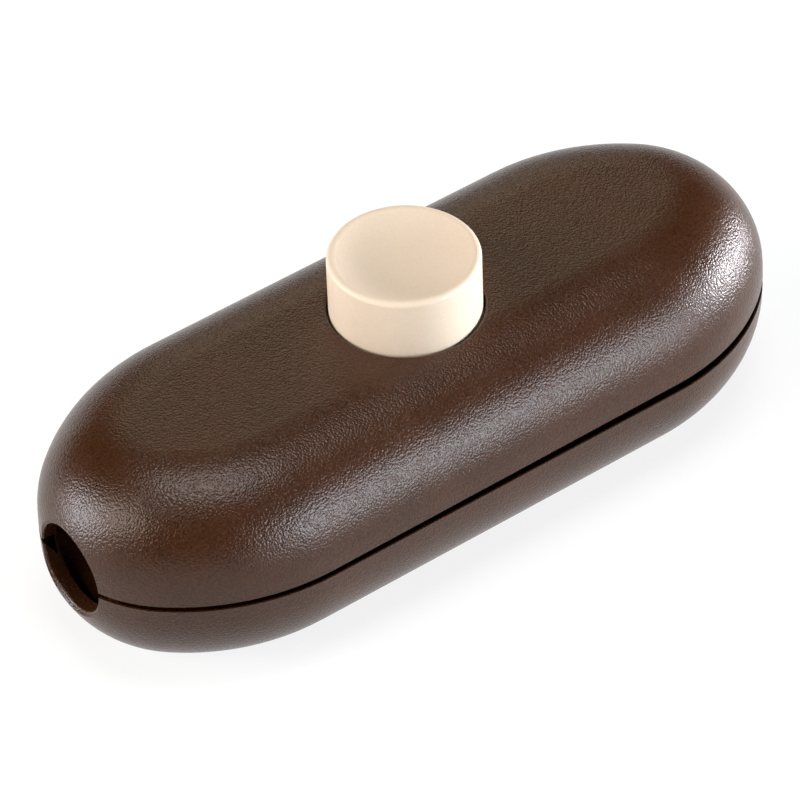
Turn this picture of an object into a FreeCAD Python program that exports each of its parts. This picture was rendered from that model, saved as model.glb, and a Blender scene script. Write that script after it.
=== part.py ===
import FreeCAD, Part
import math
import os

# Inline cord switch with a push button on a ratchet rotor.
# Millimetres. The cord runs along X, Z is up, and the origin lies in the middle of the flat underside.

os.makedirs("parts", exist_ok=True)

# Sizes of the case
straight_half = 19.4         # half length of the straight sides
shoulder_radius = 21.6       # the arcs that lead from the sides to the nose
nose_angle = 47.1            # half angle that the nose arc spans, degrees
shell_depth = 10.6           # one shell, from the parting plane to its flat
straight_rise = 1.53         # height of a side before the big rounding to the flat begins
side_draft = 0.3             # how far a side leans in over one shell
wall = 2.0
connector_side_gap = 0.3     # from a through connector to the lower shell's inner side

# Sizes of the joint between the shells
gap_left = 0.56              # height of the shadow gap at the left end
gap_right = 1.18             # and at the right end
gap_depth = 1.3
lip_land = 0.2               # flat top of the lower shell's lip, before it falls away inward
lip_fall = 1.6               # how deep the channel behind the lip goes
rim_height = 1.4             # the lower shell's locating rim stands this far above the joint
rim_root = 2.5               # and starts this far below it
rim_thickness = 1.0
rim_clearance = 0.15

# Sizes of the cord entries and clamps
cord_bore_radius = 4.3
entry_ring_wall = 1.6
entry_ring_length = 6.0
entry_edge_round = 0.25
entry_edge_setback = 1.05    # from the tip of the case to where the mouth starts to round
entry_lip_length = 1.2       # straight wall of the mouth, before the pocket behind it
entry_pocket_step = 0.9      # the pocket is this much wider than the mouth, all round
clamp_to_entry = 2.2         # from a clamp bar to the entry ring beside it
clamp_to_boss = 1.32         # from a clamp bar to the case screw's boss beside it
clamp_bar_width = 4.6
clamp_bar_half_length = 8.4
clamp_ear_thickness = 2.0
clamp_lift = 1.6             # from the joint plane to the underside of the bar's ears
clamp_arch_wall = 1.4
clamp_arch_radius = 3.9      # grips a cord a little thinner than the entry
clamp_screw_y = 6.6
clamp_saddle_drop = 0.6      # the saddle's ears end this far below the joint plane

# Sizes of the button and its guide
button_radius = 6.97
button_height = 5.9          # above the flat of the upper shell
button_dish_depth = 1.15
button_rim_width = 0.9
button_rim_drop = 0.11       # from the top of the rim to the edge of the dish
button_wall = 1.3
button_roof = 1.8
button_hole_clearance = 0.2
hole_edge_round = 0.25
button_travel = 3.5
flange_radius = 7.75
flange_thickness = 1.2
flange_clearance = 0.3
guide_clearance = 0.35
guide_wall = 1.5
guide_roof = 2.3             # thickness that stays above the guide's round recess
guide_length = 5.6
key_width = 2.4
key_reach = 1.1
key_clearance = 0.3

# Sizes of the ratchet
tooth_count = 8
crown_inner_radius = 3.3
crown_outer_radius = 4.8
crown_tube_lip = 0.15        # the button's tube is this much wider than its teeth on each side
crown_clearance = 0.15
tooth_blunt = 0.2            # taken off the tip of each tooth
tooth_sink = 0.3             # how far a tooth's root reaches into what carries it
rotor_radius = 5.5
rotor_disc_bottom = 6.3
rotor_disc_top = 9.2
rotor_hub_radius = 2.8
rotor_hub_bottom = 5.0
rotor_hub_top = 9.6
notch_radius = 0.9
notch_depth = 0.35
pin_radius = 1.2
pin_running_clearance = 0.08
pin_top = 14.0
pin_foot = 3.0

# Sizes of the return spring
spring_wire_radius = 0.3
spring_radius = 2.2
spring_turns = 6
spigot_length = 1.3
spring_seat_clearance = 0.05

# Sizes of the contacts
star_thickness = 0.5
star_arm_width = 2.2
star_reach = 5.9
star_ring_radius = 4.0
star_fit_clearance = 0.05
tip_radius = 0.8
contact_circle_radius = 5.0
tip_height = 0.45
fixed_tip_height = 0.3
contact_gap = 0.15

# Sizes of the base and the metal parts on it
base_top = 4.8
base_half_length = 18.4
base_side_clearance = 0.25
base_rib_y = 6.8
base_rib_thickness = 0.5
base_rib_top = 9.0
base_rib_half_length = 9.0
peg_radius = 1.1
peg_clearance = 0.15
peg_height = 1.8
peg_x = 8.5
peg_y = 4.6
arm_thickness = 0.8
arm_width = 3.6
arm_inner_x = 3.9
line_block_x = 11.6
line_block_length = 6.0
line_block_width = 5.0
line_block_height = 5.5
bar_to_rib = 0.1             # from a through connector to the base's rib beside it
bar_width = 3.7
bar_height = 5.0
bar_half_length = 13.2
bar_waist_height = 3.0
bar_waist_half_length = 7.0
wire_hole_radius = 1.3
wire_hole_depth = 5.5
wire_hole_rise = 2.2

# Sizes of the detent spring
detent_thickness = 0.3
detent_half_length = 5.4
detent_bottom = 6.6
detent_top = 8.8
detent_nose_gap = 0.3
detent_nose_half_width = 1.4
detent_post_size = 0.9

# Sizes of the screws
terminal_screw_radius = 1.25
terminal_head_radius = 2.1
terminal_head_height = 1.5
terminal_head_lift = 0.5
terminal_screw_reach = 0.4
clamp_screw_radius = 1.3
clamp_head_radius = 2.3
clamp_head_height = 1.5
clamp_screw_length = 8.0
case_screw_inset = 7.0       # from the side of the case at the joint
case_screw_radius = 1.4
case_head_radius = 2.5
case_head_height = 1.7
case_head_depth = 3.2        # how far the head sits up inside the underside
case_screw_length = 13.5
screw_hole_clearance = 0.15
head_clearance = 0.2
slot_width = 0.7
slot_depth = 0.7
boss_wall = 1.1
boss_clearance = 0.3
thread_clearance = 0.05

# Places worked out from the sizes
edge_radius = shell_depth - straight_rise


def lean_in(inset, rise):
    # How far the side of a half, made this much smaller all round, has leaned in at this rise.
    depth = shell_depth - inset
    radius = edge_radius - inset
    above = max(0.0, rise - (depth - radius))
    return side_draft * rise / shell_depth + radius - math.sqrt(radius ** 2 - above ** 2)


bar_y = base_rib_y + base_rib_thickness + bar_to_rib + bar_width / 2
bar_outer_y = bar_y + bar_width / 2
half_width = bar_outer_y + connector_side_gap + wall + lean_in(wall, shell_depth - base_top)
joint_z = shell_depth
case_top = 2 * shell_depth
floor_z = wall
roof_z = case_top - wall
nose_slope = math.radians(nose_angle)
shoulder_center_y = half_width - shoulder_radius
nose_radius = shoulder_radius + shoulder_center_y / math.sin(nose_slope)
nose_center_x = straight_half + (shoulder_radius - nose_radius) * math.cos(nose_slope)
tip_x = nose_center_x + nose_radius
button_top = case_top + button_height
button_hole_radius = button_radius + button_hole_clearance
guide_radius = flange_radius + guide_clearance
guide_roof_z = case_top - guide_roof
flange_top = guide_roof_z - flange_clearance
flange_bottom = flange_top - flange_thickness
guide_bottom = guide_roof_z - guide_length
button_ceiling = button_top - button_dish_depth - button_roof
tooth_height = button_travel
tooth_step = 360.0 / tooth_count
rotor_crown_peak = rotor_disc_top + tooth_height
button_crown_tip = rotor_crown_peak + crown_clearance
button_crown_root = button_crown_tip + tooth_height
pin_hole_radius = pin_radius + pin_running_clearance
star_bottom = rotor_disc_bottom - star_thickness
tip_bottom = star_bottom - tip_height
fixed_tip_top = tip_bottom - contact_gap
fixed_tip_bottom = fixed_tip_top - fixed_tip_height
arm_top = fixed_tip_bottom
arm_bottom = arm_top - arm_thickness
entry_inner_x = tip_x - entry_ring_length
entry_ring_radius = cord_bore_radius + entry_ring_wall
edge_start_x = tip_x - entry_edge_setback
entry_lip_x = edge_start_x - entry_lip_length
entry_pocket_radius = cord_bore_radius + entry_pocket_step
button_rim_round = button_rim_width / 2
clamp_x = entry_inner_x - clamp_to_entry - clamp_bar_width / 2
upper_boss_radius = case_screw_radius + boss_wall
lower_boss_radius = case_head_radius + head_clearance + boss_wall
case_screw_x = clamp_x - clamp_bar_width / 2 - clamp_to_boss - upper_boss_radius
case_screw_y = half_width - case_screw_inset
gap_middle = (gap_left + gap_right) / 2
gap_slope = math.atan((gap_right - gap_left) / (4 * tip_x))
big = 4 * tip_x              # larger than the whole part, for cutting tools
match_tolerance = 0.01       # for finding an edge by where it lies

UP = FreeCAD.Vector(0, 0, 1)
ALONG = FreeCAD.Vector(1, 0, 0)
ACROSS = FreeCAD.Vector(0, 1, 0)


# Helpers
def point(x, y, z):
    return FreeCAD.Vector(x, y, z)


def box(x0, x1, y0, y1, z0, z1):
    return Part.makeBox(x1 - x0, y1 - y0, z1 - z0, point(x0, y0, z0))


def cylinder(radius, z0, z1, x=0.0, y=0.0):
    return Part.makeCylinder(radius, z1 - z0, point(x, y, z0), UP)


def cylinder_along(radius, x0, x1, y, z):
    return Part.makeCylinder(radius, x1 - x0, point(x0, y, z), ALONG)


def polar(radius, angle, x=0.0, y=0.0):
    return point(x + radius * math.cos(angle), y + radius * math.sin(angle), 0)


def turned(shape, degrees):
    copy = shape.copy()
    copy.rotate(point(0, 0, 0), UP, degrees)
    return copy


def mirrored_ends(shape):
    return shape.mirror(point(0, 0, 0), ALONG)


def flipped(shape):
    return shape.mirror(point(0, 0, joint_z), UP)


def fuse_all(shapes):
    whole = shapes[0]
    for shape in shapes[1:]:
        whole = whole.fuse(shape)
    return whole.removeSplitter()


def revolve_profile(points):
    # A point is (radius, height), and a point with a third and fourth number bends
    # the edge that arrives at it through that middle point.
    edges = []
    last = points[0]
    for item in points[1:] + points[:1]:
        start = point(last[0], 0, last[1])
        end = point(item[0], 0, item[1])
        if len(item) == 4:
            middle = point(item[2], 0, item[3])
            edges.append(Part.Arc(start, middle, end).toShape())
        else:
            edges.append(Part.makeLine(start, end))
        last = item
    face = Part.Face(Part.Wire(edges))
    return face.revolve(point(0, 0, 0), UP, 360)


def slotted_head(radius, height, z, x, y, down=False):
    # A cheese head with a straight slot and a rounded outer edge.
    head = cylinder(radius, z, z + height, x, y)
    slot_z = z if down else z + height - slot_depth
    slot = box(x - big, x + big, y - slot_width / 2, y + slot_width / 2, slot_z, slot_z + slot_depth)
    return head.cut(slot)


# Case outline
def outline(inset, z):
    # The pill seen from above: straight sides, shoulder arcs and nose arcs that run on smoothly.
    side = half_width - inset
    shoulder = shoulder_radius - inset
    nose = nose_radius - inset
    edges = []
    turn = nose_slope
    middle = (turn + math.pi / 2) / 2
    for sign in (1, -1):
        def place(vector):
            return point(sign * vector.x, sign * vector.y, z)
        side_start = point(-straight_half, side, 0)
        side_end = point(straight_half, side, 0)
        shoulder_mid = polar(shoulder, middle, straight_half, shoulder_center_y)
        nose_start = polar(nose, turn, nose_center_x)
        nose_tip = polar(nose, 0, nose_center_x)
        nose_end = polar(nose, -turn, nose_center_x)
        back_mid = point(shoulder_mid.x, -shoulder_mid.y, 0)
        back_end = point(straight_half, -side, 0)
        edges.append(Part.makeLine(place(side_start), place(side_end)))
        edges.append(Part.Arc(place(side_end), place(shoulder_mid), place(nose_start)).toShape())
        edges.append(Part.Arc(place(nose_start), place(nose_tip), place(nose_end)).toShape())
        edges.append(Part.Arc(place(nose_end), place(back_mid), place(back_end)).toShape())
    return Part.Wire(edges)


def prism(inset, z0, z1):
    return Part.Face(outline(inset, z0)).extrude(point(0, 0, z1 - z0))


def rounded_half(inset):
    # The upper half of the pill, its sides leaning in and its top edge rounded.
    depth = shell_depth - inset
    low = outline(inset, joint_z)
    high = outline(inset + side_draft * depth / shell_depth, joint_z + depth)
    block = Part.makeLoft([low, high], True, True)
    top_edges = [e for e in block.Edges if e.BoundBox.ZMin > joint_z + depth - match_tolerance]
    return block.makeFillet(edge_radius - inset, top_edges)


def tilted(shape, turn):
    # Turned about the line across the middle of the joint.
    copy = shape.copy()
    copy.rotate(point(0, 0, joint_z), ACROSS, math.degrees(turn))
    return copy


def shadow_gap_above():
    # The upper shell's share of the gap, which grows from the left end to the right.
    slab = prism(-wall, joint_z - gap_middle, joint_z + gap_middle / 2)
    return tilted(slab.cut(prism(gap_depth, 0, case_top)), -gap_slope)


def shadow_gap_below():
    # The lower shell's share, with a channel behind a thin lip, so that nothing shows in the gap.
    top = joint_z - gap_middle / 2
    slab = prism(-wall, top, joint_z + gap_middle)
    fall = [outline(lip_land, top), outline(gap_depth - match_tolerance, top - lip_fall)]
    channel = Part.makeLoft(fall, True, True)
    core = prism(gap_depth, 0, case_top)
    return tilted(slab.fuse(channel).cut(core), gap_slope)


def cord_bores():
    # The two cord entries, each a short lip with a round edge and a wider pocket behind it.
    flare = cord_bore_radius + entry_edge_round
    corner = entry_edge_round * math.sqrt(0.5)
    edge_end_x = edge_start_x + entry_edge_round
    bore = revolve_profile([
        (0, entry_inner_x),
        (entry_pocket_radius, entry_inner_x),
        (entry_pocket_radius, entry_lip_x),
        (cord_bore_radius, entry_lip_x),
        (cord_bore_radius, edge_start_x),
        (flare, edge_end_x, flare - corner, edge_start_x + corner),
        (flare + entry_edge_round, edge_end_x + entry_edge_round),
        (flare + entry_edge_round, big),
        (0, big),
    ])
    bore.rotate(point(0, 0, 0), ACROSS, 90)
    bore.translate(point(0, 0, joint_z))
    return bore.fuse(mirrored_ends(bore))


def entry_rings(half):
    # The thick rings that carry the cord bores, trimmed to the case.
    ring = cylinder_along(entry_ring_radius, entry_inner_x, tip_x, 0, joint_z)
    both = ring.fuse(mirrored_ends(ring))
    return both.common(half)


def screw_places():
    return [(case_screw_x, -case_screw_y), (-case_screw_x, case_screw_y)]


def clamp_screw_places(side):
    return [(side * clamp_x, clamp_screw_y), (side * clamp_x, -clamp_screw_y)]


def case_block():
    # The solid upper half with its cord entries, before it is hollowed.
    return rounded_half(0).cut(cord_bores())


# Upper shell
def make_upper_shell():
    block = round_hole_edge(case_block().cut(cylinder(button_hole_radius, joint_z, big)))
    features = [
        entry_rings(block),
        cylinder(guide_radius + guide_wall, guide_bottom, roof_z).common(block),
    ]
    for x, y in screw_places():
        features.append(cylinder(upper_boss_radius, joint_z, roof_z, x, y).common(block))
    shell = fuse_all([block.cut(rounded_half(wall))] + features)
    shell = shell.cut(cylinder(guide_radius, joint_z, guide_roof_z))
    key_half = key_width / 2 + key_clearance
    key_end = flange_radius + key_reach + key_clearance
    shell = shell.cut(box(-key_half, key_half, -key_end, key_end, joint_z, guide_roof_z))
    hole_radius = case_screw_radius + thread_clearance
    for x, y in screw_places():
        shell = shell.cut(cylinder(hole_radius, joint_z, screw_tip_z() + wall / 2, x, y))
    return shell.cut(shadow_gap_above())


def round_hole_edge(block):
    # Softens the upper edge of the button's hole.
    edges = []
    for edge in block.Edges:
        spans = [math.hypot(v.X, v.Y) - button_hole_radius for v in edge.Vertexes]
        on_hole = max(abs(span) for span in spans) < match_tolerance
        if on_hole and edge.BoundBox.ZMin > case_top - wall:
            edges.append(edge)
    return block.makeFillet(hole_edge_round, edges)


def screw_tip_z():
    return case_head_depth + case_head_height + case_screw_length - case_head_height


# Lower shell
def make_lower_shell():
    block = flipped(case_block())
    shell = block.cut(flipped(rounded_half(wall)))
    pieces = [shell, locating_rim(), entry_rings(block)]
    for x, y in screw_places():
        boss = cylinder(lower_boss_radius, 0, joint_z, x, y)
        pieces.append(boss.common(block))
    for side in (1, -1):
        pieces.append(clamp_saddle(side).common(block))
    for x, y in peg_places():
        pieces.append(cylinder(peg_radius, floor_z - wall / 2, floor_z + peg_height, x, y))
    shell = fuse_all(pieces)
    for x, y in screw_places():
        shell = shell.cut(cylinder(case_head_radius + head_clearance, -wall, case_seat_z(), x, y))
        shell = shell.cut(cylinder(case_screw_radius + screw_hole_clearance, -wall, joint_z + wall, x, y))
    hole_radius = clamp_screw_radius + thread_clearance
    hole_bottom = clamp_seat_z() - clamp_screw_length - wall / 4
    for side in (1, -1):
        for x, y in clamp_screw_places(side):
            shell = shell.cut(cylinder(hole_radius, hole_bottom, joint_z, x, y))
    return shell.cut(shadow_gap_below())


def locating_rim():
    # The low wall inside the joint that the upper shell slips over, open at the cord entries.
    top = joint_z + rim_height
    root = prism(wall - rim_clearance, joint_z - rim_root, joint_z)
    rim = root.fuse(prism(wall + rim_clearance, joint_z, top))
    rim = rim.cut(prism(wall + rim_clearance + rim_thickness, joint_z - 2 * rim_root, top + wall))
    opening = entry_ring_radius + rim_clearance
    for sign in (1, -1):
        x0, x1 = sorted([sign * (entry_inner_x - rim_clearance), sign * big])
        rim = rim.cut(box(x0, x1, -opening, opening, joint_z, top + wall))
        reach = entry_pocket_radius
        rim = rim.cut(box(x0, x1, -reach, reach, joint_z - 2 * rim_root, joint_z))
    return rim


def case_seat_z():
    return case_head_depth + case_head_height


def peg_places():
    return [(peg_x, peg_y), (-peg_x, -peg_y)]


def clamp_saddle(side):
    # The block under the cord, hollowed to the cord's round and drilled for the clamp screws.
    x0 = side * clamp_x - clamp_bar_width / 2
    x1 = x0 + clamp_bar_width
    reach = clamp_bar_half_length
    block = box(x0, x1, -reach, reach, floor_z - wall / 2, joint_z - clamp_saddle_drop)
    return block.cut(cylinder_along(clamp_arch_radius, -big, big, 0, joint_z))


# Push button
def make_push_button():
    top = button_top
    dish_radius = button_radius - button_rim_width
    rim_mid = button_radius - button_rim_round
    dish_edge_z = top - button_rim_drop
    shoulder_z = top - button_rim_round
    dish_bottom = top - button_dish_depth
    curve = (dish_radius ** 2 + (dish_edge_z - dish_bottom) ** 2) / (2 * (dish_edge_z - dish_bottom))
    half = dish_radius / 2
    half_z = dish_bottom + curve - math.sqrt(curve ** 2 - half ** 2)
    corner = button_rim_round * (1 - math.sqrt(0.5))
    inner = button_radius - button_wall
    spigot = spring_radius - spring_wire_radius - crown_clearance
    spigot_z = button_ceiling - spigot_length
    body = revolve_profile([
        (0, dish_bottom),
        (dish_radius, dish_edge_z, half, half_z),
        (rim_mid, top, (dish_radius + rim_mid) / 2, top - button_rim_drop / 4),
        (button_radius, shoulder_z, button_radius - corner, top - corner),
        (button_radius, flange_top),
        (flange_radius, flange_top),
        (flange_radius, flange_bottom),
        (inner, flange_bottom),
        (inner, button_ceiling),
        (crown_outer_radius + crown_tube_lip, button_ceiling),
        (crown_outer_radius + crown_tube_lip, button_crown_root),
        (crown_inner_radius - crown_tube_lip, button_crown_root),
        (crown_inner_radius - crown_tube_lip, button_ceiling),
        (spigot, button_ceiling),
        (spigot, spigot_z),
        (0, spigot_z),
    ])
    key_end = flange_radius + key_reach
    keys = box(-key_width / 2, key_width / 2, -key_end, key_end, flange_bottom, flange_top)
    keys = keys.cut(cylinder(inner + button_wall / 2, flange_bottom, flange_top))
    return fuse_all([body, keys] + hanging_teeth())


# Ratchet teeth
def ramp(z_low, z_high, far_z):
    # A helical ramp as wide as the crown, filled from its sloping face to far beyond far_z.
    rise = z_high - z_low
    middle = (crown_inner_radius + crown_outer_radius) / 2
    helix = Part.makeHelix(tooth_height * tooth_count, rise, middle)
    helix.translate(point(0, 0, z_low))
    corners = [
        point(crown_inner_radius, 0, z_low),
        point(crown_outer_radius, 0, z_low),
        point(crown_outer_radius, 0, far_z),
        point(crown_inner_radius, 0, far_z),
    ]
    profile = Part.makePolygon(corners + corners[:1])
    return Part.Wire(helix.Edges).makePipeShell([profile], True, True)


def angle_of(rise):
    # How far the helical face turns, in degrees, while it rises by this much.
    return tooth_step * rise / tooth_height


def ring_of(tooth):
    return [turned(tooth, i * tooth_step) for i in range(tooth_count)]


def standing_teeth():
    # The rotor's saw teeth, sunk a little into the disc, with blunt tips.
    low = rotor_disc_top - tooth_sink
    tooth = ramp(low, rotor_crown_peak - tooth_blunt, low - 2 * tooth_height)
    tooth = tooth.common(cylinder(rotor_radius, low + tooth_sink / 2, rotor_crown_peak))
    return ring_of(turned(tooth, -angle_of(tooth_sink)))


def hanging_teeth():
    # The button's saw teeth face down and lie parallel to the rotor's.
    low = button_crown_tip + tooth_blunt
    high = button_crown_root + tooth_sink
    tooth = ramp(low, high, high + 2 * tooth_height)
    tooth = tooth.common(cylinder(rotor_radius, low, high - tooth_sink / 2))
    return ring_of(turned(tooth, angle_of(tooth_blunt)))


# Ratchet rotor
def make_ratchet_rotor():
    disc = cylinder(rotor_radius, rotor_disc_bottom, rotor_disc_top)
    notch_circle = rotor_radius + notch_radius - notch_depth
    for i in range(tooth_count):
        place = polar(notch_circle, math.radians((i + 0.5) * tooth_step))
        disc = disc.cut(cylinder(notch_radius, rotor_disc_bottom, rotor_disc_top, place.x, place.y))
    hub = cylinder(rotor_hub_radius, rotor_hub_bottom, rotor_hub_top)
    rotor = fuse_all([disc, hub] + standing_teeth())
    return rotor.cut(cylinder(pin_hole_radius, rotor_hub_bottom - wall, rotor_crown_peak))


# Contacts
def make_contact_star():
    ring = cylinder(star_ring_radius, star_bottom, star_bottom + star_thickness)
    half = star_arm_width / 2
    arm = box(-star_reach, star_reach, -half, half, star_bottom, star_bottom + star_thickness)
    star = fuse_all([ring, turned(arm, tooth_step), turned(arm, tooth_step + 90)])
    star = star.common(cylinder(star_reach, star_bottom, star_bottom + star_thickness))
    hub_hole = rotor_hub_radius + star_fit_clearance
    return star.cut(cylinder(hub_hole, star_bottom - wall, star_bottom + wall))


def make_contact_tips():
    tips = []
    for i in range(4):
        place = polar(contact_circle_radius, math.radians(tooth_step + 90 * i))
        tips.append(cylinder(tip_radius, tip_bottom, star_bottom, place.x, place.y))
    return Part.makeCompound(tips)


def make_fixed_tips():
    tips = []
    for x in (-contact_circle_radius, contact_circle_radius):
        tips.append(cylinder(tip_radius, fixed_tip_bottom, fixed_tip_top, x, 0))
    return Part.makeCompound(tips)


def make_pivot_pin():
    pin = cylinder(pin_radius, pin_foot, pin_top)
    top_edges = [e for e in pin.Edges if e.BoundBox.ZMin > pin_top - match_tolerance]
    return pin.makeChamfer(pin_radius / 3, top_edges)


# Return spring
def make_return_spring():
    low = rotor_hub_top + spring_seat_clearance + spring_wire_radius
    high = button_ceiling - spring_seat_clearance - spring_wire_radius
    height = high - low
    helix = Part.makeHelix(height / spring_turns, height, spring_radius)
    helix.translate(point(0, 0, low))
    circle = Part.Circle(point(spring_radius, 0, low), point(0, 1, 0), spring_wire_radius)
    profile = Part.Wire([circle.toShape()])
    return Part.Wire(helix.Edges).makePipeShell([profile], True, True)


# Switch base
def make_switch_base():
    drop = base_side_clearance
    body = flipped(rounded_half(wall + base_side_clearance))
    body.translate(point(0, 0, -drop))
    reach = base_half_length
    slab = body.common(box(-reach, reach, -half_width, half_width, 0, base_top))
    pieces = [slab]
    low = floor_z + wall / 2
    reach = base_rib_half_length
    for sign in (1, -1):
        y0, y1 = sorted([sign * base_rib_y, sign * (base_rib_y + base_rib_thickness)])
        pieces.append(box(-reach, reach, y0, y1, low, base_rib_top))
    front = detent_back_y() + detent_thickness
    for sign in (1, -1):
        inner = sign * (detent_half_length - detent_post_size)
        middle = sign * detent_half_length
        outer = sign * (detent_half_length + detent_post_size)
        x0, x1 = sorted([middle, outer])
        pieces.append(box(x0, x1, -base_rib_y, front + detent_thickness, low, detent_top))
        x0, x1 = sorted([inner, outer])
        pieces.append(box(x0, x1, front, front + detent_thickness, low, detent_bottom))
    base = fuse_all(pieces)
    for x, y in peg_places():
        base = base.cut(cylinder(peg_radius + peg_clearance, 0, floor_z + peg_height + peg_clearance, x, y))
    base = base.cut(cylinder(pin_radius, pin_foot, base_top + wall))
    for x, y in screw_places():
        base = base.cut(cylinder(lower_boss_radius + boss_clearance, 0, base_top + wall, x, y))
    half = arm_width / 2
    for side in (1, -1):
        x0, x1 = sorted([side * arm_inner_x, side * (line_block_x + line_block_length)])
        base = base.cut(box(x0, x1, -half, half, arm_bottom, base_top + wall))
    return base


# Line terminals
def line_terminal(side):
    x0, x1 = sorted([side * line_block_x, side * (line_block_x + line_block_length)])
    half = line_block_width / 2
    top = base_top + line_block_height
    block = box(x0, x1, -half, half, base_top, top)
    a0, a1 = sorted([side * arm_inner_x, side * (line_block_x + line_block_length)])
    arm = box(a0, a1, -arm_width / 2, arm_width / 2, arm_bottom, arm_top)
    neck = box(x0, x1, -arm_width / 2, arm_width / 2, arm_bottom, base_top)
    hole_z = base_top + wire_hole_rise
    terminal = fuse_all([block, arm, neck])
    h0, h1 = sorted([side * (line_block_x + line_block_length - wire_hole_depth), side * big])
    terminal = terminal.cut(cylinder_along(wire_hole_radius, h0, h1, 0, hole_z))
    screw_hole_radius = terminal_screw_radius + thread_clearance
    return terminal.cut(cylinder(screw_hole_radius, hole_z, top + wall, line_screw_x(side), 0))


def line_screw_x(side):
    return side * (line_block_x + line_block_length / 2)


# Through connectors
def through_connector(side):
    y = side * bar_y
    half = bar_width / 2
    top = base_top + bar_height
    bar = box(-bar_half_length, bar_half_length, y - half, y + half, base_top, top)
    waist = bar_waist_half_length
    bar = bar.cut(box(-waist, waist, y - half, y + half, base_top + bar_waist_height, top))
    hole_z = base_top + wire_hole_rise
    screw_hole_radius = terminal_screw_radius + thread_clearance
    for end in (1, -1):
        x0, x1 = sorted([end * (bar_half_length - wire_hole_depth), end * big])
        bar = bar.cut(cylinder_along(wire_hole_radius, x0, x1, y, hole_z))
        bar = bar.cut(cylinder(screw_hole_radius, hole_z, top + wall, bar_screw_x(end), y))
    return bar


def bar_screw_x(end):
    return end * (bar_half_length - wire_hole_depth / 2)


# Detent spring
def detent_back_y():
    return -base_rib_y


def make_detent_spring():
    # A flat strip along the rib, bowed to a nose that faces the rotor's notched rim.
    back = detent_back_y()
    nose = -(rotor_radius + detent_nose_gap)
    half = detent_nose_half_width
    end = detent_half_length

    def strip_line(offset):
        start = point(-end, back + offset, 0)
        bend = point(-half, back + offset, 0)
        crest = point(0, nose - detent_thickness + offset, 0)
        bend_back = point(half, back + offset, 0)
        finish = point(end, back + offset, 0)
        return [
            Part.makeLine(start, bend),
            Part.Arc(bend, crest, bend_back).toShape(),
            Part.makeLine(bend_back, finish),
        ]
    low = strip_line(0)
    high = strip_line(detent_thickness)
    left = Part.makeLine(point(-end, back, 0), point(-end, back + detent_thickness, 0))
    right = Part.makeLine(point(end, back, 0), point(end, back + detent_thickness, 0))
    wire = Part.Wire(Part.__sortEdges__(low + high + [left, right]))
    strip = Part.Face(wire).extrude(point(0, 0, detent_top - detent_bottom))
    strip.translate(point(0, 0, detent_bottom))
    return strip


# Cord clamps
def clamp_seat_z():
    return joint_z + clamp_lift + clamp_ear_thickness


def clamp_bar(side):
    x0 = side * clamp_x - clamp_bar_width / 2
    x1 = x0 + clamp_bar_width
    low = joint_z + clamp_lift
    ears = box(x0, x1, -clamp_bar_half_length, clamp_bar_half_length, low, clamp_seat_z())
    arch = cylinder_along(clamp_arch_radius + clamp_arch_wall, x0, x1, 0, joint_z)
    arch = arch.common(box(x0, x1, -half_width, half_width, low, case_top))
    bar = fuse_all([ears, arch])
    bar = bar.cut(cylinder_along(clamp_arch_radius, -big, big, 0, joint_z))
    for x, y in clamp_screw_places(side):
        bar = bar.cut(cylinder(clamp_screw_radius + screw_hole_clearance, 0, big, x, y))
    return bar


# Screws
def make_terminal_screws():
    screws = []
    wire_z = base_top + wire_hole_rise
    places = [(line_screw_x(side), 0, base_top + line_block_height) for side in (1, -1)]
    for end in (1, -1):
        for side in (1, -1):
            places.append((bar_screw_x(end), side * bar_y, base_top + bar_height))
    for x, y, top in places:
        seat = top + terminal_head_lift
        shank = cylinder(terminal_screw_radius, wire_z + terminal_screw_reach, seat, x, y)
        head = slotted_head(terminal_head_radius, terminal_head_height, seat, x, y)
        screws.append(shank.fuse(head))
    return Part.makeCompound(screws)


def make_clamp_screws():
    screws = []
    seat = clamp_seat_z()
    for side in (1, -1):
        for x, y in clamp_screw_places(side):
            shank = cylinder(clamp_screw_radius, seat - clamp_screw_length, seat, x, y)
            head = slotted_head(clamp_head_radius, clamp_head_height, seat, x, y)
            screws.append(shank.fuse(head))
    return Part.makeCompound(screws)


def make_case_screws():
    screws = []
    seat = case_seat_z()
    for x, y in screw_places():
        shank = cylinder(case_screw_radius, seat, screw_tip_z(), x, y)
        head = slotted_head(case_head_radius, case_head_height, case_head_depth, x, y, down=True)
        screws.append(shank.fuse(head))
    return Part.makeCompound(screws)


# Every node under its own name
nodes = {
    "upper_shell": make_upper_shell(),
    "lower_shell": make_lower_shell(),
    "push_button": make_push_button(),
    "return_spring": make_return_spring(),
    "ratchet_rotor": make_ratchet_rotor(),
    "contact_star": make_contact_star(),
    "moving_contacts": make_contact_tips(),
    "fixed_contacts": make_fixed_tips(),
    "pivot_pin": make_pivot_pin(),
    "detent_spring": make_detent_spring(),
    "switch_base": make_switch_base(),
    "supply_terminal": line_terminal(-1),
    "load_terminal": line_terminal(1),
    "neutral_connector": through_connector(1),
    "earth_connector": through_connector(-1),
    "terminal_screws": make_terminal_screws(),
    "clamp_bar_left": clamp_bar(-1),
    "clamp_bar_right": clamp_bar(1),
    "clamp_screws": make_clamp_screws(),
    "case_screws": make_case_screws(),
}
for name, shape in nodes.items():
    shape.exportStep("parts/" + name + ".step")
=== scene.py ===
# %% [markdown]
# An inline cord switch: a brown moulded case in two halves that closes round a lamp cord,
# with a cream push button in its top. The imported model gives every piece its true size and
# place, so this script only adds what a model of solids leaves out: the finish of each
# surface, the wire of the spring, the threads of the screws, and the light.

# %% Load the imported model
import math

import bpy
from mathutils import Matrix, Vector


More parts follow.
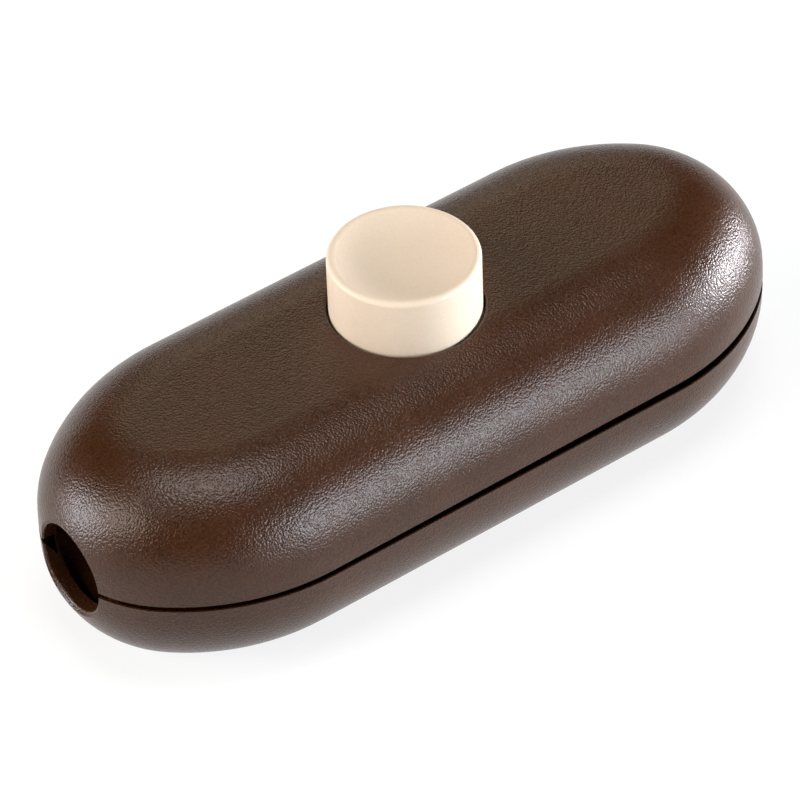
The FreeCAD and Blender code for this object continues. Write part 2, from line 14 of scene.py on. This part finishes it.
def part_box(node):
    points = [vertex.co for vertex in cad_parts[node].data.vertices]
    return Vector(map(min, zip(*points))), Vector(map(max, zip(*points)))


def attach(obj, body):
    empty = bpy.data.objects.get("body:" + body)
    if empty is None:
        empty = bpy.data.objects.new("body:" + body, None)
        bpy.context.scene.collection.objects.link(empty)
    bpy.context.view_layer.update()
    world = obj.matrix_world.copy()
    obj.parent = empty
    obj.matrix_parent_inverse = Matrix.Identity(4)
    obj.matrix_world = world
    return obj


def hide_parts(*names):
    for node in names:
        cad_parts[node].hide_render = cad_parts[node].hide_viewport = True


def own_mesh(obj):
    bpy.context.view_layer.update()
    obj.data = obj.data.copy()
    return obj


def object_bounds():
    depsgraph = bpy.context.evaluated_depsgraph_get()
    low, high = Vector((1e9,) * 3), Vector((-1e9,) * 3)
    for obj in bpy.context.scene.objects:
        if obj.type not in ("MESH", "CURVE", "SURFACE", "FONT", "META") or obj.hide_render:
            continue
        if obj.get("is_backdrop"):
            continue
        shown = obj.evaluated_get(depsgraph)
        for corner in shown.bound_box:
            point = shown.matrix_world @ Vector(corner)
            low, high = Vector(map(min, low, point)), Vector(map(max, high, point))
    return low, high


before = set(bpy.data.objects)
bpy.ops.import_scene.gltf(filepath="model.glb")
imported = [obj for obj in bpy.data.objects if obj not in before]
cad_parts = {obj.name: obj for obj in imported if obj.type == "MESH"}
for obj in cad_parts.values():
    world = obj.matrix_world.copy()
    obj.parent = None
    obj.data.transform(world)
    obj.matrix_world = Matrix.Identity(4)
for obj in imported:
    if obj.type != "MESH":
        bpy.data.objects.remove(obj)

cad_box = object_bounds()
MM = 0.001
cad_size = cad_box[1] - cad_box[0]
print("case and button, mm:", [round(side / MM, 1) for side in cad_size])


# %% [markdown]
# The camera stands in front and to the left, and looks down on the switch. It could be moved
# by eye until the view looks right, but its three axes are built from angles here, because
# the angles and the lens can be worked out from the outline in a photograph. The long lens
# keeps the two ends of the case nearly the same width. The aim is the middle of the seam.

# %% Camera
def place_camera():
    turn = math.radians(35.30)
    height = math.radians(42.02)
    roll = math.radians(-2.23)
    distance = 468 * MM
    lens_mm = 231.0
    film_mm = 36
    nearest = 0.05
    farthest = 100
    aside = -0.81 * MM
    above = -0.80 * MM
    seam = Vector((0, 0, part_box("upper_shell")[0].z))
    back = Vector((
        -math.sin(turn) * math.cos(height),
        -math.cos(turn) * math.cos(height),
        math.sin(height),
    ))
    level = Vector((math.cos(turn), -math.sin(turn), 0))
    upright = back.cross(level)
    right = level * math.cos(roll) + upright * math.sin(roll)
    up = upright * math.cos(roll) - level * math.sin(roll)
    camera = bpy.data.objects.new("camera", bpy.data.cameras.new("camera"))
    camera.data.lens = lens_mm
    camera.data.sensor_width = film_mm
    camera.data.clip_start = nearest
    camera.data.clip_end = farthest
    turned = Matrix((right, up, back)).transposed()
    spot = seam + right * aside + up * above + back * distance
    camera.matrix_world = Matrix.Translation(spot) @ turned.to_4x4()
    bpy.context.scene.collection.objects.link(camera)
    bpy.context.scene.camera = camera
    return camera


camera = place_camera()
print("camera at, mm:", [round(v / MM) for v in camera.location])


# %% [markdown]
# A product photograph is taken on a white table between soft boxes. Two large ones stand low
# in front and on the right, and their reflections join into one pale band along the front of
# the case; a narrow strip beside them, just above the table, makes the bright patch at the
# far end. A low one at the back left lights the near nose, one on the left lights the cord
# entry, a dim one behind gives the flat top its sheen, and one overhead fills the rest. A
# picture of a studio round the scene would light it too, but each lamp here answers for one
# highlight, so it can be moved by itself. Its turn is counted from the front to the right,
# and its height from the table up, both in degrees.

# %% Soft boxes
LAMP_DISTANCE = 0.9
LARGE = (0.4, 0.4)
LOW_STRIP = (0.36, 0.10)
COOL = (0.84, 0.92, 1.0)

# Name, turn and height in degrees, the two sides of the lamp in metres, watts, colour.
SOFT_BOXES = (
    ("front_box", 20, 8, LARGE, 8.6, COOL),
    ("right_box", 60, 8, LARGE, 4.6, COOL),
    ("end_box", 76, 2.5, LOW_STRIP, 9.8, (0.96, 0.94, 1.0)),
    ("nose_box", -120, 10, LARGE, 8.4, (0.92, 0.95, 1.0)),
    ("left_box", -90, 35, LARGE, 4.4, (1.0, 0.90, 0.78)),
    ("back_box", 150, 30, LARGE, 0.9, (1.0, 0.92, 0.72)),
    ("overhead_box", 0, 85, LARGE, 4.0, (0.97, 0.99, 1.0)),
)


def soft_box(name, turn, height, size, watts, tint):
    lamp = bpy.data.lights.new(name, "AREA")
    lamp.shape = "RECTANGLE"
    lamp.size, lamp.size_y = size
    lamp.energy = watts
    lamp.color = tint
    holder = bpy.data.objects.new(name, lamp)
    turned = math.radians(turn)
    raised = math.radians(height)
    away = Vector((
        math.sin(turned) * math.cos(raised),
        -math.cos(turned) * math.cos(raised),
        math.sin(raised),
    ))
    middle = (cad_box[0] + cad_box[1]) / 2
    holder.location = middle + away * LAMP_DISTANCE
    holder.rotation_mode = "QUATERNION"
    holder.rotation_quaternion = away.to_track_quat("Z", "Y")
    bpy.context.scene.collection.objects.link(holder)
    return holder


lamps = [soft_box(*row) for row in SOFT_BOXES]
print("soft boxes:", [lamp.name for lamp in lamps])


# %% [markdown]
# Between the lamps the room is nearly dark, and what little light it gives back is warm. A
# black world would do almost as well, but then the sides that face no lamp would have no
# light but what the table sends back.

# %% The room
def light_the_room():
    warm = (1.0, 0.85, 0.75, 1)
    dim = 0.015
    world = bpy.data.worlds.new("room")
    world.use_nodes = True
    glow = world.node_tree.nodes["Background"]
    glow.inputs["Color"].default_value = warm
    glow.inputs["Strength"].default_value = dim
    bpy.context.scene.world = world
    return glow


glow = light_the_room()
bpy.context.scene.view_settings.view_transform = "Standard"
print("light of the room:", round(glow.inputs["Strength"].default_value, 3))


# %% [markdown]
# The table top is a plain white sheet, large enough to reach past every view. Light that
# bounces off it reaches the underside of the case. It could be lit until it is white, but
# then the switch would be far too bright. So to a camera or a shiny surface most of its
# white is its own, and the little that the lamps add keeps the switch's shadow on it, pale.

# %% Table top
def grey(share):
    return (share, share, share, 1)


def table_finish():
    paper_white = grey(0.80)
    lamps_share = grey(0.21)
    own_light = 0.80
    finish = bpy.data.materials.new("table_white")
    finish.use_nodes = True
    tree = finish.node_tree
    tree.nodes.clear()
    paper = tree.nodes.new("ShaderNodeBsdfDiffuse")
    paper.inputs["Color"].default_value = paper_white
    faint = tree.nodes.new("ShaderNodeBsdfDiffuse")
    faint.inputs["Color"].default_value = lamps_share
    lift = tree.nodes.new("ShaderNodeEmission")
    lift.inputs["Strength"].default_value = own_light
    seen_sheet = tree.nodes.new("ShaderNodeAddShader")
    tree.links.new(faint.outputs[0], seen_sheet.inputs[0])
    tree.links.new(lift.outputs[0], seen_sheet.inputs[1])
    path = tree.nodes.new("ShaderNodeLightPath")
    seen = path.outputs["Is Camera Ray"]
    for other in ("Is Glossy Ray", "Is Transmission Ray"):
        either = tree.nodes.new("ShaderNodeMath")
        either.operation = "MAXIMUM"
        tree.links.new(seen, either.inputs[0])
        tree.links.new(path.outputs[other], either.inputs[1])
        seen = either.outputs[0]
    choice = tree.nodes.new("ShaderNodeMixShader")
    out = tree.nodes.new("ShaderNodeOutputMaterial")
    tree.links.new(seen, choice.inputs[0])
    tree.links.new(paper.outputs[0], choice.inputs[1])
    tree.links.new(seen_sheet.outputs[0], choice.inputs[2])
    tree.links.new(choice.outputs[0], out.inputs["Surface"])
    return finish


def lay_table():
    half = 30.0
    low = cad_box[0].z
    corners = [(-half, -half, low), (half, -half, low), (half, half, low), (-half, half, low)]
    sheet = bpy.data.meshes.new("table_top")
    sheet.from_pydata(corners, [], [(0, 1, 2, 3)])
    top = bpy.data.objects.new("table_top", sheet)
    bpy.context.scene.collection.objects.link(top)
    top.data.materials.append(table_finish())
    top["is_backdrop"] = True
    return top


table = lay_table()
print("table at z, mm:", round(table.data.vertices[0].co.z / MM, 3))


# %% [markdown]
# Both plastics come out of a spark-eroded mould, whose walls are covered in tiny craters.
# The moulding has them the other way round, as low rounded bumps a fifth of a millimetre
# apart, and that is what breaks the highlight into sparkle. It could be a picture of such a
# surface, but a picture repeats and needs to be unwrapped. Noise does neither: cells make
# the bumps, a finer noise roughens them, one of the bumps' own size is for the tone, and a
# slow swell runs under all. One node group holds them, because the case, the button and the
# plain inner mouldings use it with their own sizes.

# %% Spark-eroded grain
def new_group(name, takes, gives):
    group = bpy.data.node_groups.new(name, "ShaderNodeTree")
    for label, start in takes:
        socket = group.interface.new_socket(
            label, in_out="INPUT", socket_type="NodeSocketFloat")
        socket.default_value = start
    for label in gives:
        group.interface.new_socket(label, in_out="OUTPUT", socket_type="NodeSocketFloat")
    return group, group.nodes.new("NodeGroupInput"), group.nodes.new("NodeGroupOutput")


def math_node(tree, operation, first, second=0.0):
    node = tree.nodes.new("ShaderNodeMath")
    node.operation = operation
    for slot, value in enumerate((first, second)):
        if isinstance(value, (int, float)):
            node.inputs[slot].default_value = value
        else:
            tree.links.new(value, node.inputs[slot])
    return node.outputs[0]


def noise_node(tree, detail):
    node = tree.nodes.new("ShaderNodeTexNoise")
    node.inputs["Detail"].default_value = detail
    return node


def grain_group():
    smoothing = 0.6
    fine_share = 0.35
    takes = [("Crater size", 0.4 * MM), ("Fine size", 0.12 * MM), ("Swell size", 6 * MM)]
    group, given, result = new_group("spark_eroded_grain", takes, ["Height", "Tone", "Swell"])
    where = group.nodes.new("ShaderNodeTexCoord").outputs["Object"]
    crater = group.nodes.new("ShaderNodeTexVoronoi")
    crater.feature = "SMOOTH_F1"
    crater.inputs["Smoothness"].default_value = smoothing
    fine = noise_node(group, detail=1.0)
    patch = noise_node(group, detail=3.0)
    swell = noise_node(group, detail=2.0)
    sized = (
        (crater, "Crater size"),
        (fine, "Fine size"),
        (patch, "Crater size"),
        (swell, "Swell size"),
    )
    for node, size in sized:
        scale = math_node(group, "DIVIDE", 1.0, given.outputs[size])
        group.links.new(where, node.inputs["Vector"])
        group.links.new(scale, node.inputs["Scale"])
    bumps = math_node(group, "SUBTRACT", 1.0, crater.outputs["Distance"])
    roughened = math_node(group, "MULTIPLY", fine.outputs[0], fine_share)
    group.links.new(math_node(group, "ADD", bumps, roughened), result.inputs["Height"])
    group.links.new(patch.outputs[0], result.inputs["Tone"])
    group.links.new(swell.outputs[0], result.inputs["Swell"])
    return group


spark_eroded_grain = grain_group()
sockets = spark_eroded_grain.interface.items_tree
print("grain group gives:", [s.name for s in sockets if s.in_out == "OUTPUT"])


# %% [markdown]
# A moulding is one colour, but never one flat value: its tone shifts a little from bump to
# bump, and the melt flows in slow swells. It could be painted, but two tones mixed by noise
# need no picture, and the same few numbers then describe every plastic: its two tones, the
# sizes and the depth of its grain, its roughness and its gloss. The case is dark brown and
# satin. The button is cream, and its grain is coarser but so shallow that it looks smooth.

# %% Moulded plastics
def tone_between(tree, share, low, high):
    mix = tree.nodes.new("ShaderNodeMix")
    mix.data_type = "RGBA"
    mix.inputs["A"].default_value = (*low, 1)
    mix.inputs["B"].default_value = (*high, 1)
    tree.links.new(share, mix.inputs["Factor"])
    return mix.outputs["Result"]


def range_between(tree, share, low, high):
    node = tree.nodes.new("ShaderNodeMapRange")
    node.inputs["To Min"].default_value = low
    node.inputs["To Max"].default_value = high
    tree.links.new(share, node.inputs["Value"])
    return node.outputs["Result"]


def add_bump(tree, height, depth, surface):
    bump = tree.nodes.new("ShaderNodeBump")
    bump.inputs["Strength"].default_value = 1.0
    bump.inputs["Distance"].default_value = depth
    tree.links.new(height, bump.inputs["Height"])
    tree.links.new(bump.outputs["Normal"], surface.inputs["Normal"])


def moulded_plastic(name, tones, crater, fine, depth, rough, gloss=0.5):
    finish = bpy.data.materials.new(name)
    finish.use_nodes = True
    tree = finish.node_tree
    plastic = tree.nodes["Principled BSDF"]
    plastic.inputs["IOR"].default_value = 1.5
    plastic.inputs["Specular IOR Level"].default_value = gloss
    grain = tree.nodes.new("ShaderNodeGroup")
    grain.node_tree = spark_eroded_grain
    grain.inputs["Crater size"].default_value = crater
    grain.inputs["Fine size"].default_value = fine
    # Both noises vary about one half, and the last step brings their sum back to it.
    swell_share = 0.6
    patch_share = 1.9
    swell = math_node(tree, "MULTIPLY", grain.outputs["Swell"], swell_share)
    patch = math_node(tree, "MULTIPLY", grain.outputs["Tone"], patch_share)
    both = math_node(tree, "ADD", swell, patch)
    share = math_node(tree, "SUBTRACT", both, (swell_share + patch_share - 1) / 2)
    colour = tone_between(tree, share, *tones)
    roughness = range_between(tree, grain.outputs["Swell"], *rough)
    tree.links.new(colour, plastic.inputs["Base Color"])
    tree.links.new(roughness, plastic.inputs["Roughness"])
    add_bump(tree, grain.outputs["Height"], depth, plastic)
    return finish


finishes = {
    "case_plastic": moulded_plastic(
        "case_brown", tones=((0.0188, 0.0062, 0.0020), (0.0590, 0.0200, 0.0068)),
        crater=0.20 * MM, fine=0.08 * MM, depth=0.041 * MM, rough=(0.24, 0.29), gloss=0.37),
    "button_plastic": moulded_plastic(
        "button_cream", tones=((0.665, 0.535, 0.410), (0.705, 0.570, 0.445)),
        crater=0.30 * MM, fine=0.10 * MM, depth=0.004 * MM, rough=(0.40, 0.48), gloss=0.30),
    "rotor_plastic": moulded_plastic(
        "rotor_natural", tones=((0.70, 0.68, 0.60), (0.78, 0.76, 0.69)),
        crater=0.50 * MM, fine=0.15 * MM, depth=0.004 * MM, rough=(0.30, 0.38)),
    "base_plastic": moulded_plastic(
        "base_natural", tones=((0.60, 0.56, 0.47), (0.68, 0.64, 0.55)),
        crater=0.60 * MM, fine=0.20 * MM, depth=0.006 * MM, rough=(0.42, 0.50)),
    "clamp_plastic": moulded_plastic(
        "clamp_black", tones=((0.020, 0.019, 0.018), (0.030, 0.028, 0.027)),
        crater=0.50 * MM, fine=0.15 * MM, depth=0.006 * MM, rough=(0.40, 0.50)),
}
print("plastics:", sorted(finishes))


# %% [markdown]
# The metal pieces are stamped from brass strip, drawn as spring wire or turned and plated.
# Each keeps marks of its making: fine lines, and a thin uneven bloom where hands and air
# have touched it. A picture of brushed metal would show both at one size only. Noise that
# is stretched a long way along the switch makes the lines, and a plain one the bloom. They
# are a second group, because four metals share it and differ in tones, roughness and depth.

# %% Worked metals
def worked_group():
    takes = [("Line size", 0.08 * MM), ("Line length", 4 * MM), ("Bloom size", 3 * MM)]
    group, given, result = new_group("worked_metal", takes, ["Height", "Bloom"])
    where = group.nodes.new("ShaderNodeTexCoord").outputs["Object"]
    parts = group.nodes.new("ShaderNodeSeparateXYZ")
    group.links.new(where, parts.inputs[0])
    joined = group.nodes.new("ShaderNodeCombineXYZ")
    for axis, size in (("X", "Line length"), ("Y", "Line size"), ("Z", "Line size")):
        scaled = math_node(group, "DIVIDE", parts.outputs[axis], given.outputs[size])
        group.links.new(scaled, joined.inputs[axis])
    lines = noise_node(group, detail=2.0)
    lines.inputs["Scale"].default_value = 1.0
    group.links.new(joined.outputs[0], lines.inputs["Vector"])
    bloom = noise_node(group, detail=3.0)
    bloom_scale = math_node(group, "DIVIDE", 1.0, given.outputs["Bloom size"])
    group.links.new(where, bloom.inputs["Vector"])
    group.links.new(bloom_scale, bloom.inputs["Scale"])
    group.links.new(lines.outputs[0], result.inputs["Height"])
    group.links.new(bloom.outputs[0], result.inputs["Bloom"])
    return group


worked_metal = worked_group()


def metal(name, tones, rough, depth):
    finish = bpy.data.materials.new(name)
    finish.use_nodes = True
    tree = finish.node_tree
    surface = tree.nodes["Principled BSDF"]
    surface.inputs["Metallic"].default_value = 1.0
    work = tree.nodes.new("ShaderNodeGroup")
    work.node_tree = worked_metal
    colour = tone_between(tree, work.outputs["Bloom"], *tones)
    roughness = range_between(tree, work.outputs["Bloom"], *rough)
    tree.links.new(colour, surface.inputs["Base Color"])
    tree.links.new(roughness, surface.inputs["Roughness"])
    add_bump(tree, work.outputs["Height"], depth, surface)
    return finish


metals = {
    "brass": metal(
        "stamped_brass", tones=((0.80, 0.58, 0.26), (0.62, 0.42, 0.18)),
        rough=(0.22, 0.38), depth=0.004 * MM),
    "contact_silver": metal(
        "contact_silver", tones=((0.90, 0.89, 0.86), (0.74, 0.72, 0.68)),
        rough=(0.16, 0.30), depth=0.002 * MM),
    "spring_steel": metal(
        "spring_steel", tones=((0.58, 0.58, 0.59), (0.42, 0.42, 0.43)),
        rough=(0.18, 0.32), depth=0.003 * MM),
    "plated_steel": metal(
        "plated_steel", tones=((0.74, 0.75, 0.77), (0.60, 0.61, 0.62)),
        rough=(0.20, 0.34), depth=0.003 * MM),
}
finishes.update(metals)
print("metals:", sorted(metals))


# %% [markdown]
# Every solid of the model names the stuff that it is made of, in its material slots. A list
# of pieces with their finishes would do too, but the slots already say it, so no piece can
# be forgotten. The finish goes into the slot, and the mesh stays as the model made it.

# %% Finish every solid
def stuff_of(place):
    # Blender numbers a name that it already has, such as brass.001.
    return place.material.name.split(".")[0]


def dress_solids():
    dressed = 0
    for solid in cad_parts.values():
        for place in solid.material_slots:
            place.material = finishes[stuff_of(place)]
            dressed += 1
    return dressed


print("slots with a finish:", dress_solids())


# %% [markdown]
# Two kinds of piece follow a rule that plain solids leave out: the wire of the return
# spring, whose end coils lie closed, and the threads of the screws. A script could work out
# every corner of them, but a node tree says the rule in a few steps and takes its sizes by
# name, so one tree serves screws of three sizes. Each tree ends by making its copies real,
# and its result is kept as a plain mesh, which other programs can read too.

# %% Growing a piece from a node tree
def new_grower(name, takes):
    group = bpy.data.node_groups.new(name, "GeometryNodeTree")
    face = group.interface
    face.new_socket("Geometry", in_out="INPUT", socket_type="NodeSocketGeometry")
    for label in takes:
        face.new_socket(label, in_out="INPUT", socket_type="NodeSocketFloat")
    face.new_socket("Finish", in_out="INPUT", socket_type="NodeSocketMaterial")
    face.new_socket("Geometry", in_out="OUTPUT", socket_type="NodeSocketGeometry")
    return group, group.nodes.new("NodeGroupInput")


def finish_grower(group, given, shape):
    smooth = group.nodes.new("GeometryNodeSetShadeSmooth")
    real = group.nodes.new("GeometryNodeRealizeInstances")
    coat = group.nodes.new("GeometryNodeSetMaterial")
    result = group.nodes.new("NodeGroupOutput")
    group.links.new(shape, smooth.inputs["Geometry"])
    group.links.new(smooth.outputs["Geometry"], real.inputs["Geometry"])
    group.links.new(real.outputs["Geometry"], coat.inputs["Geometry"])
    group.links.new(given.outputs["Finish"], coat.inputs["Material"])
    group.links.new(coat.outputs["Geometry"], result.inputs["Geometry"])
    return group


def wire_from(group, path, radius, sides):
    ring = group.nodes.new("GeometryNodeCurvePrimitiveCircle")
    ring.inputs["Resolution"].default_value = sides
    group.links.new(radius, ring.inputs["Radius"])
    swept = group.nodes.new("GeometryNodeCurveToMesh")
    swept.inputs["Fill Caps"].default_value = True
    group.links.new(path, swept.inputs["Curve"])
    group.links.new(ring.outputs["Curve"], swept.inputs["Profile Curve"])
    return swept.outputs["Mesh"]


def grow(name, group, values, finish, points=()):
    seed = bpy.data.meshes.new(name)
    seed.from_pydata(points, [], [])
    piece = bpy.data.objects.new(name, seed)
    bpy.context.scene.collection.objects.link(piece)
    step = piece.modifiers.new("grow", "NODES")
    step.node_group = group
    # A modifier knows its inputs by their identifiers, not by their names.
    inputs = [s for s in group.interface.items_tree if s.in_out == "INPUT"]
    keys = {socket.name: socket.identifier for socket in inputs}
    for label, value in values.items():
        step[keys[label]] = value
    step[keys["Finish"]] = finish
    grown = piece.evaluated_get(bpy.context.evaluated_depsgraph_get())
    mesh = bpy.data.meshes.new_from_object(grown)
    piece.modifiers.clear()
    piece.data = mesh
    bpy.data.meshes.remove(seed)
    mesh.name = name
    mesh.materials.clear()
    mesh.materials.append(finish)
    return piece


print("a grown piece takes one of", len(finishes), "finishes")


# %% [markdown]
# The spring is one wire, wound so that its first and last coils lie on each other and the
# middle ones stand apart. A Screw modifier would space all coils alike. Here the wire climbs
# by a rule instead: its height lags behind its turning at both ends. It sits between the
# rotor's hub and the button's roof, exactly where the model has its plain helix, and it
# rides with the button.

# %% Return spring
WIRE_RADIUS = 0.3 * MM
TURNS = 6
STEPS_A_TURN = 48
# At a closing of 1 the two ends of the wire would not climb at all.
CLOSING = 0.88


def spring_group():
    wire_sides = 12
    takes = ["Coil radius", "Wire radius", "Foot", "Height", "Turns", "Closing"]
    group, given = new_grower("closed_end_spring", takes)
    path = group.nodes.new("GeometryNodeCurvePrimitiveLine")
    dense = group.nodes.new("GeometryNodeResampleCurve")
    dense.inputs["Count"].default_value = TURNS * STEPS_A_TURN + 1
    group.links.new(path.outputs["Curve"], dense.inputs["Curve"])
    along = group.nodes.new("GeometryNodeSplineParameter").outputs["Factor"]
    all_turns = math_node(group, "MULTIPLY", given.outputs["Turns"], math.tau)
    turn = math_node(group, "MULTIPLY", along, all_turns)
    wave = math_node(group, "SINE", math_node(group, "MULTIPLY", along, math.tau))
    lag_share = math_node(group, "DIVIDE", given.outputs["Closing"], math.tau)
    lag = math_node(group, "MULTIPLY", wave, lag_share)
    risen = math_node(group, "SUBTRACT", along, lag)
    climb = math_node(group, "MULTIPLY", risen, given.outputs["Height"])
    where = group.nodes.new("ShaderNodeCombineXYZ")
    for axis, operation in (("X", "COSINE"), ("Y", "SINE")):
        share = math_node(group, operation, turn)
        reach = math_node(group, "MULTIPLY", share, given.outputs["Coil radius"])
        group.links.new(reach, where.inputs[axis])
    group.links.new(math_node(group, "ADD", climb, given.outputs["Foot"]), where.inputs["Z"])
    wound = group.nodes.new("GeometryNodeSetPosition")
    group.links.new(dense.outputs["Curve"], wound.inputs["Geometry"])
    group.links.new(where.outputs[0], wound.inputs["Position"])
    coil = wound.outputs["Geometry"]
    wire = wire_from(group, coil, given.outputs["Wire radius"], wire_sides)
    return finish_grower(group, given, wire)


def wind_spring():
    low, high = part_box("return_spring")
    height = high.z - low.z
    values = {
        "Coil radius": (high.x - low.x) / 2 - WIRE_RADIUS,
        "Wire radius": WIRE_RADIUS,
        "Foot": low.z + WIRE_RADIUS,
        "Height": height - 2 * WIRE_RADIUS,
        "Turns": float(TURNS),
        "Closing": CLOSING,
    }
    spring = grow("spring_wire", spring_group(), values, finishes["spring_steel"])
    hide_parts("return_spring")
    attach(spring, "button")
    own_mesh(spring)
    return spring


spring = wind_spring()
print("spring, mm high:", round(spring.dimensions.z / MM, 2))


# %% [markdown]
# A screw's thread is a ridge wound round its shank. It could be cut out of the shank, but a
# three-sided wire laid round it looks the same and leaves the model's screw whole. The tree
# winds one ridge and sets a copy at every screw. The shanks are found in the model: each
# separate solid of a screw node is one screw, and its middle and its ends say where the
# ridge goes.

# %% Screw threads
def thread_group():
    points_a_turn = 20
    ridge_sides = 3
    group, given = new_grower("screw_threads", ["Shank radius", "Pitch", "Length", "Ridge"])
    wound = group.nodes.new("GeometryNodeCurveSpiral")
    wound.inputs["Resolution"].default_value = points_a_turn
    turns = math_node(group, "DIVIDE", given.outputs["Length"], given.outputs["Pitch"])
    group.links.new(turns, wound.inputs["Rotations"])
    group.links.new(given.outputs["Shank radius"], wound.inputs["Start Radius"])
    group.links.new(given.outputs["Shank radius"], wound.inputs["End Radius"])
    group.links.new(given.outputs["Length"], wound.inputs["Height"])
    ridge = wire_from(group, wound.outputs["Curve"], given.outputs["Ridge"], ridge_sides)
    copies = group.nodes.new("GeometryNodeInstanceOnPoints")
    group.links.new(given.outputs["Geometry"], copies.inputs["Points"])
    group.links.new(ridge, copies.inputs["Instance"])
    return finish_grower(group, given, copies.outputs["Instances"])


def box_of(spots):
    lowest = Vector(min(spot[i] for spot in spots) for i in range(3))
    highest = Vector(max(spot[i] for spot in spots) for i in range(3))
    return lowest, highest


def separate_solids(solid):
    # The box of every solid in a node. Corners at the same spot, to a micrometre, and the
    # two ends of an edge belong to one solid, and each group is named by its leader.
    mesh = solid.data
    leader = list(range(len(mesh.vertices)))

    def lead(i):
        while leader[i] != i:
            leader[i] = leader[leader[i]]
            i = leader[i]
        return i

    same_spot = {}
    for vertex in mesh.vertices:
        spot = tuple(round(v / MM, 3) for v in vertex.co)
        leader[lead(vertex.index)] = lead(same_spot.setdefault(spot, vertex.index))
    for edge in mesh.edges:
        leader[lead(edge.vertices[0])] = lead(edge.vertices[1])
    groups = {}
    for vertex in mesh.vertices:
        groups.setdefault(lead(vertex.index), []).append(vertex.co)
    return [box_of(spots) for spots in groups.values()]


# Screw node, radius of its shank, pitch of its thread, whether its head is underneath.
THREADED = (
    ("terminal_screws", 1.25 * MM, 0.45 * MM, False),
    ("clamp_screws", 1.3 * MM, 0.8 * MM, False),
    ("case_screws", 1.4 * MM, 0.9 * MM, True),
)
RIDGE = 0.09 * MM
HEAD_HEIGHT = 1.5 * MM


def cut_threads(tree, node, shank, pitch, head_below):
    screws = separate_solids(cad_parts[node])
    low, high = screws[0]
    length = high.z - low.z - HEAD_HEIGHT - pitch
    above_head = high.z - length
    points = []
    for lowest, highest in screws:
        x = (lowest.x + highest.x) / 2
        y = (lowest.y + highest.y) / 2
        points.append((x, y, above_head if head_below else lowest.z))
    values = {"Shank radius": shank, "Pitch": pitch, "Length": length, "Ridge": RIDGE}
    thread = grow(node + "_threads", tree, values, finishes["plated_steel"], points)
    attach(thread, "housing")
    return node, len(screws), round(length / MM, 1)


threads = thread_group()
print("threads: node, screws, mm long:", [cut_threads(threads, *row) for row in THREADED])


# %% [markdown]
# The sizes of the picture and of the model are written down side by side, so that the two
# can be compared: a picture that outgrows its model is wrong.

# %% Finish
seen_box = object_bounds()
sizes = {
    "cad": [list(cad_box[0]), list(cad_box[1])],
    "visual": [list(seen_box[0]), list(seen_box[1])],
}
for label, corners in sizes.items():
    print(label, "box, mm:", [[round(v / MM, 2) for v in corner] for corner in corners])
